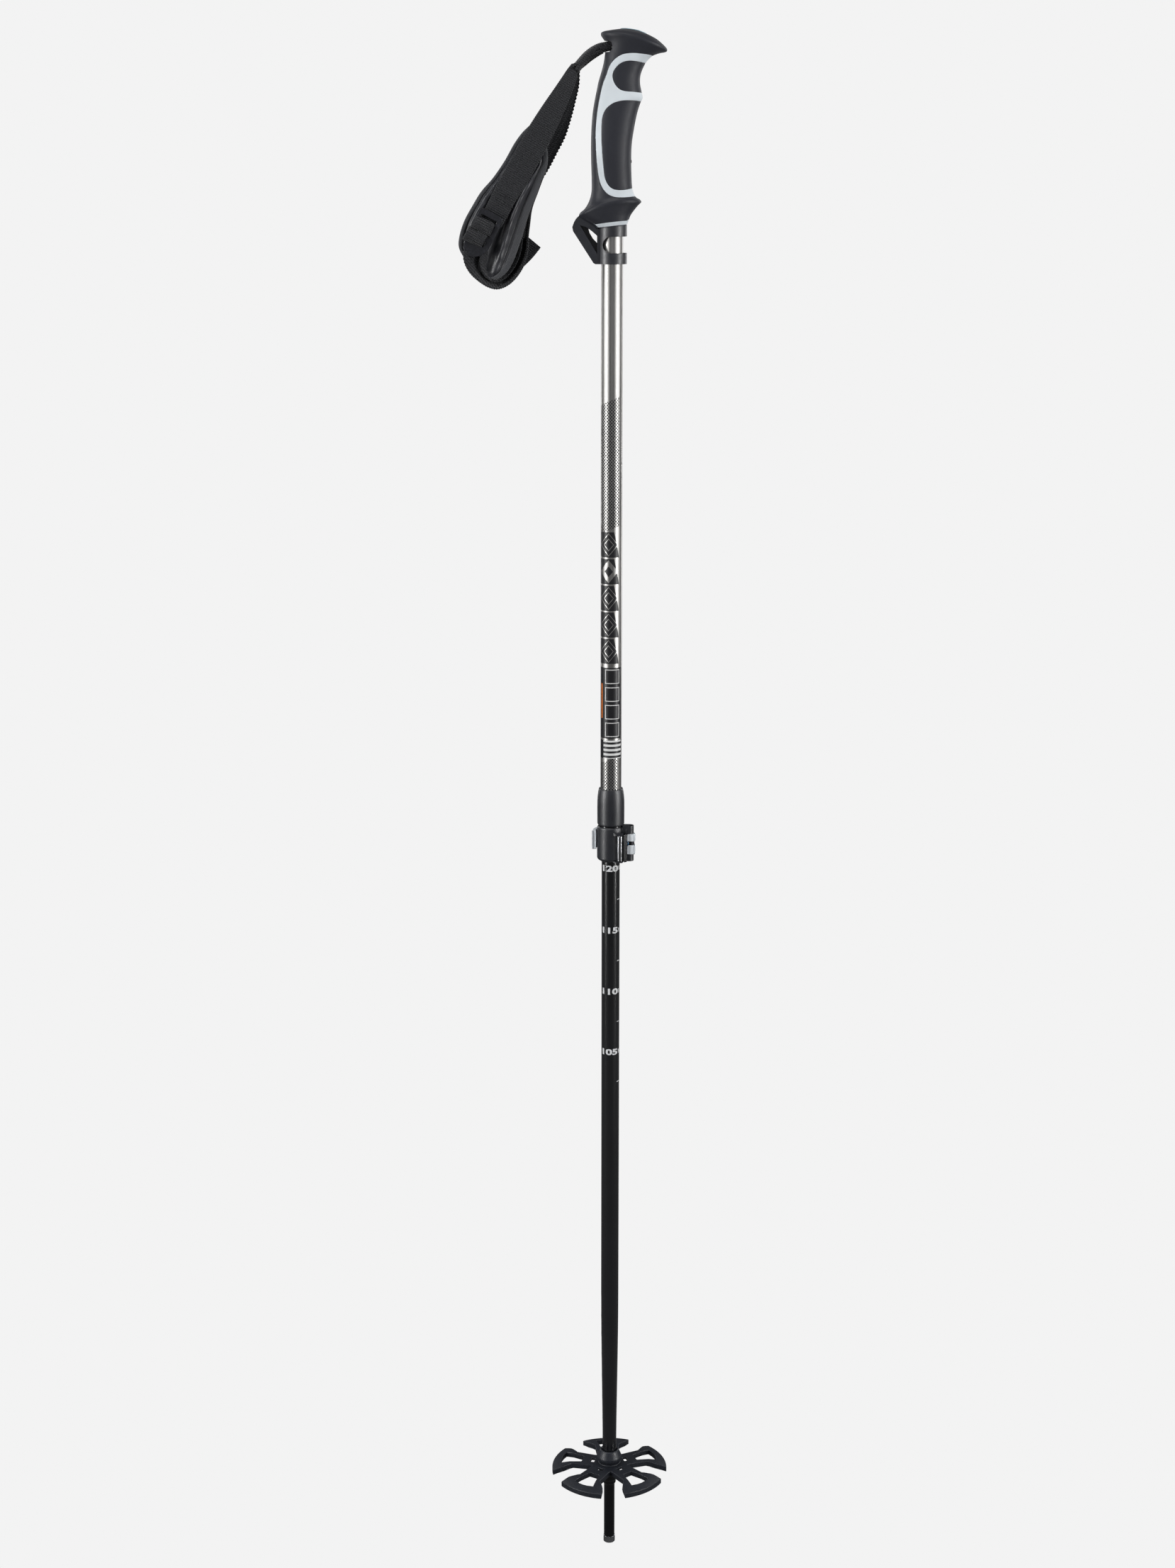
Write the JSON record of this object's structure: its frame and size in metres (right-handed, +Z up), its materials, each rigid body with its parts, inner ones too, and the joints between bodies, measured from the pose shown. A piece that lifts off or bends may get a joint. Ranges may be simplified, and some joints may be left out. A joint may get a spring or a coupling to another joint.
{
  "type": "ski pole",
  "caption": "Telescoping ski touring pole with shaped grip, padded wrist strap, heel-lift hook, lever clamp, powder basket and metal tip.",
  "frame": {"origin": "centre of the tip's lower end face, on the pole's axis", "axes": "+Z up the shaft towards the grip, +X towards the finger side of the grip, -X towards the strap and the heel-lift hook"},
  "size_m": [0.1587, 0.0935, 1.2049],
  "materials": {
    "upper_tube": "satin brushed anodised with printed black bands",
    "lower_tube": "gloss black anodised with white length scale",
    "black_plastic": "fine-textured glass-filled nylon",
    "basket_plastic": "satin flexible nylon",
    "stem_plastic": "smooth black",
    "chrome": "polished",
    "carbide": "sintered",
    "dark_steel": "blackened",
    "lever_grey": "satin light grey",
    "grip_rubber": "matte soft rubber",
    "grip_grey": "matte light grey",
    "cap_inlay": "satin pale blue",
    "webbing": "ribbed polyester webbing",
    "pad_leather": "coated padded fabric with bound edge",
    "buckle": "moulded acetal",
    "hidden_plastic": "plain"
  },
  "bodies": {
    "lower_section": {"lower_tube": "lower_tube", "lower_tube_plug": "hidden_plastic", "tip_stem": "stem_plastic", "tip_ferrule": "chrome", "carbide_tip": "carbide"},
    "basket": {"basket": "basket_plastic", "basket_ring": "basket_plastic", "basket_collar": "basket_plastic"},
    "upper_section": {"upper_tube": "upper_tube", "upper_tube_plug": "hidden_plastic", "lock_collar": "black_plastic", "clamp_sleeve": "stem_plastic", "clamp_body": "black_plastic", "pressure_plate": "stem_plastic", "barrel_nut": "chrome", "eye_bolt": "dark_steel", "heel_lift_hook": "black_plastic", "grip_shell": "grip_rubber", "grip_liner": "hidden_plastic", "grip_inlay": "grip_grey", "finger_pad_upper": "grip_rubber", "finger_pad_lower": "grip_rubber", "grip_base_ring": "grip_grey", "cap_inlay": "cap_inlay", "strap_anchor_pin": "dark_steel", "strap_anchor_loop": "webbing"},
    "cam_lever": {"cam_lever": "lever_grey", "lever_axle": "dark_steel"},
    "strap": {"strap_root": "webbing", "strap_gather": "webbing", "strap_front_run": "webbing", "strap_back_run": "webbing", "wrist_pad": "pad_leather", "strap_lower_turn": "webbing", "wrist_pad_rear": "pad_leather", "strap_tail": "webbing", "ladder_lock_buckle": "buckle"}
  },
  "joints": [
    {"name": "length_slide", "type": "slide", "parent": "lower_section", "child": "upper_section", "axis": [0, 0, 1], "range_m": [-0.155, 0.245]},
    {"name": "basket_turn", "type": "hinge", "parent": "lower_section", "child": "basket", "pos_m": [0, 0, 0.0715], "axis": [0, 0, 1], "continuous": true},
    {"name": "lever_hinge", "type": "hinge", "parent": "upper_section", "child": "cam_lever", "pos_m": [0.0153, -0.0026, 0.6005], "axis": [0, 0, -1], "range_deg": [0, 150]},
    {"name": "strap_swing", "type": "hinge", "parent": "upper_section", "child": "strap", "pos_m": [-0.0092, 0, 1.1906], "axis": [0, 1, 0], "range_deg": [-6, 88]}
  ]
}
